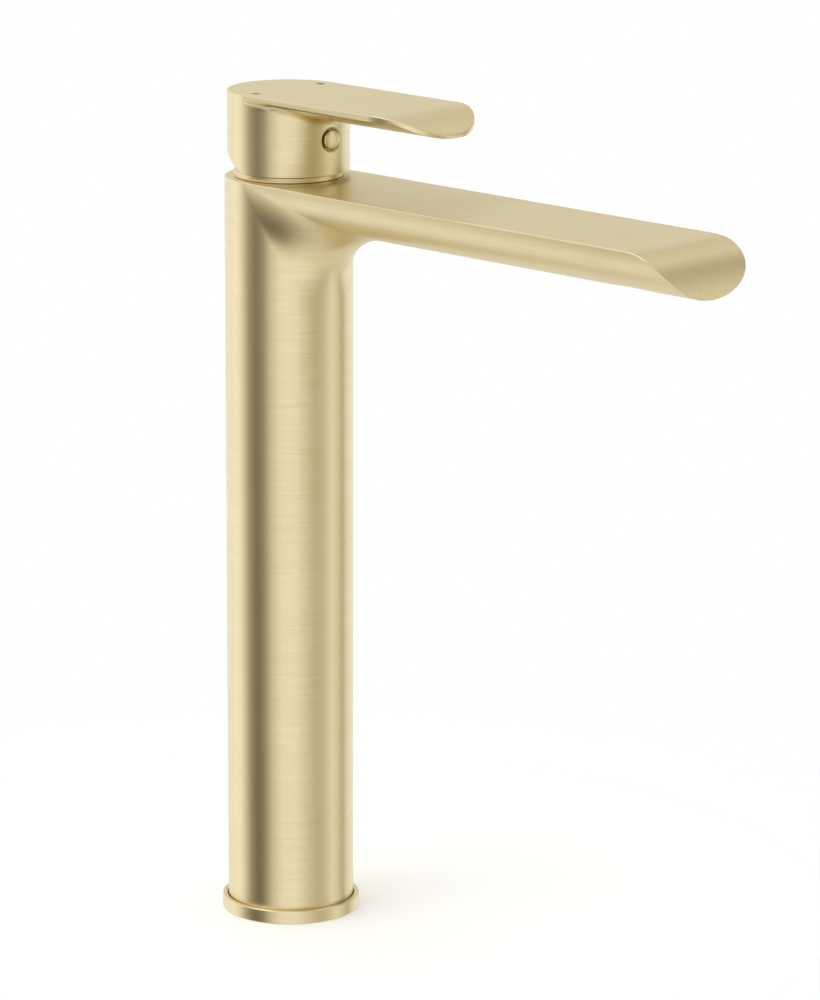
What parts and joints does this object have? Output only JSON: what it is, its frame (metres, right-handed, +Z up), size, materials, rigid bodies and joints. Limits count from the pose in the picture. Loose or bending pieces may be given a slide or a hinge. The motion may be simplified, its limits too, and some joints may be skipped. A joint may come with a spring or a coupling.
{
  "type": "bathroom mixer faucet",
  "caption": "Tall single-lever basin mixer: round column on a base ring, flat-topped half-round spout with a curved nose, and a flat lever on a round hub over a ceramic cartridge.",
  "frame": {"origin": "centre of the base's underside, on the column's axis, in the plane of the basin deck", "axes": "+Z up the column, +X along the spout and the closed lever, away from the column, +Y across the spout"},
  "size_m": [0.2273, 0.0502, 0.3044],
  "materials": {
    "brushed_gold": "brushed champagne-gold plating over cast brass",
    "raw_brass": "machined, unplated",
    "copper_tube": "drawn copper tube",
    "black_rubber": "matte moulded rubber",
    "white_plastic": "moulded acetal",
    "grey_plastic": "moulded acetal",
    "alumina_ceramic": "lapped sintered alumina",
    "stainless_steel": "turned stainless steel"
  },
  "bodies": {
    "body": {"body_shell": "brushed_gold", "base_ring": "brushed_gold", "base_gasket": "black_rubber", "inlet_block": "raw_brass", "inlet_block_oring": "black_rubber", "hot_riser_pipe": "copper_tube", "cold_riser_pipe": "copper_tube", "hot_port_seal": "black_rubber", "cold_port_seal": "black_rubber", "outlet_port_seal": "black_rubber", "cartridge_base": "white_plastic", "cartridge_housing": "white_plastic", "cartridge_oring": "black_rubber", "fixed_ceramic_disc": "alumina_ceramic", "retaining_nut": "raw_brass", "bonnet_ring": "brushed_gold", "aerator_housing": "white_plastic", "aerator_screen": "white_plastic", "aerator_gasket": "black_rubber"},
    "rotor": {"rotor_sleeve": "grey_plastic", "pivot_pin": "stainless_steel"},
    "disc": {"moving_ceramic_disc": "alumina_ceramic", "disc_carrier": "grey_plastic"},
    "handle": {"lever_handle": "brushed_gold", "stem": "raw_brass", "grub_screw": "stainless_steel", "index_plug": "brushed_gold"}
  },
  "joints": [
    {"name": "handle_turn", "type": "hinge", "parent": "body", "child": "rotor", "pos_m": [0, 0, 0.28], "axis": [0, 0, 1], "range_deg": [-45, 45]},
    {"name": "handle_lift", "type": "hinge", "parent": "rotor", "child": "handle", "pos_m": [0, 0, 0.28], "axis": [0, -1, 0], "range_deg": [0, 25]},
    {"name": "disc_slide", "type": "slide", "parent": "rotor", "child": "disc", "axis": [1, 0, 0], "range_m": [0, 0.004]}
  ],
  "couplings": [
    {"joint": "disc_slide", "follows": "handle_lift", "m_per_rad": 0.009}
  ]
}
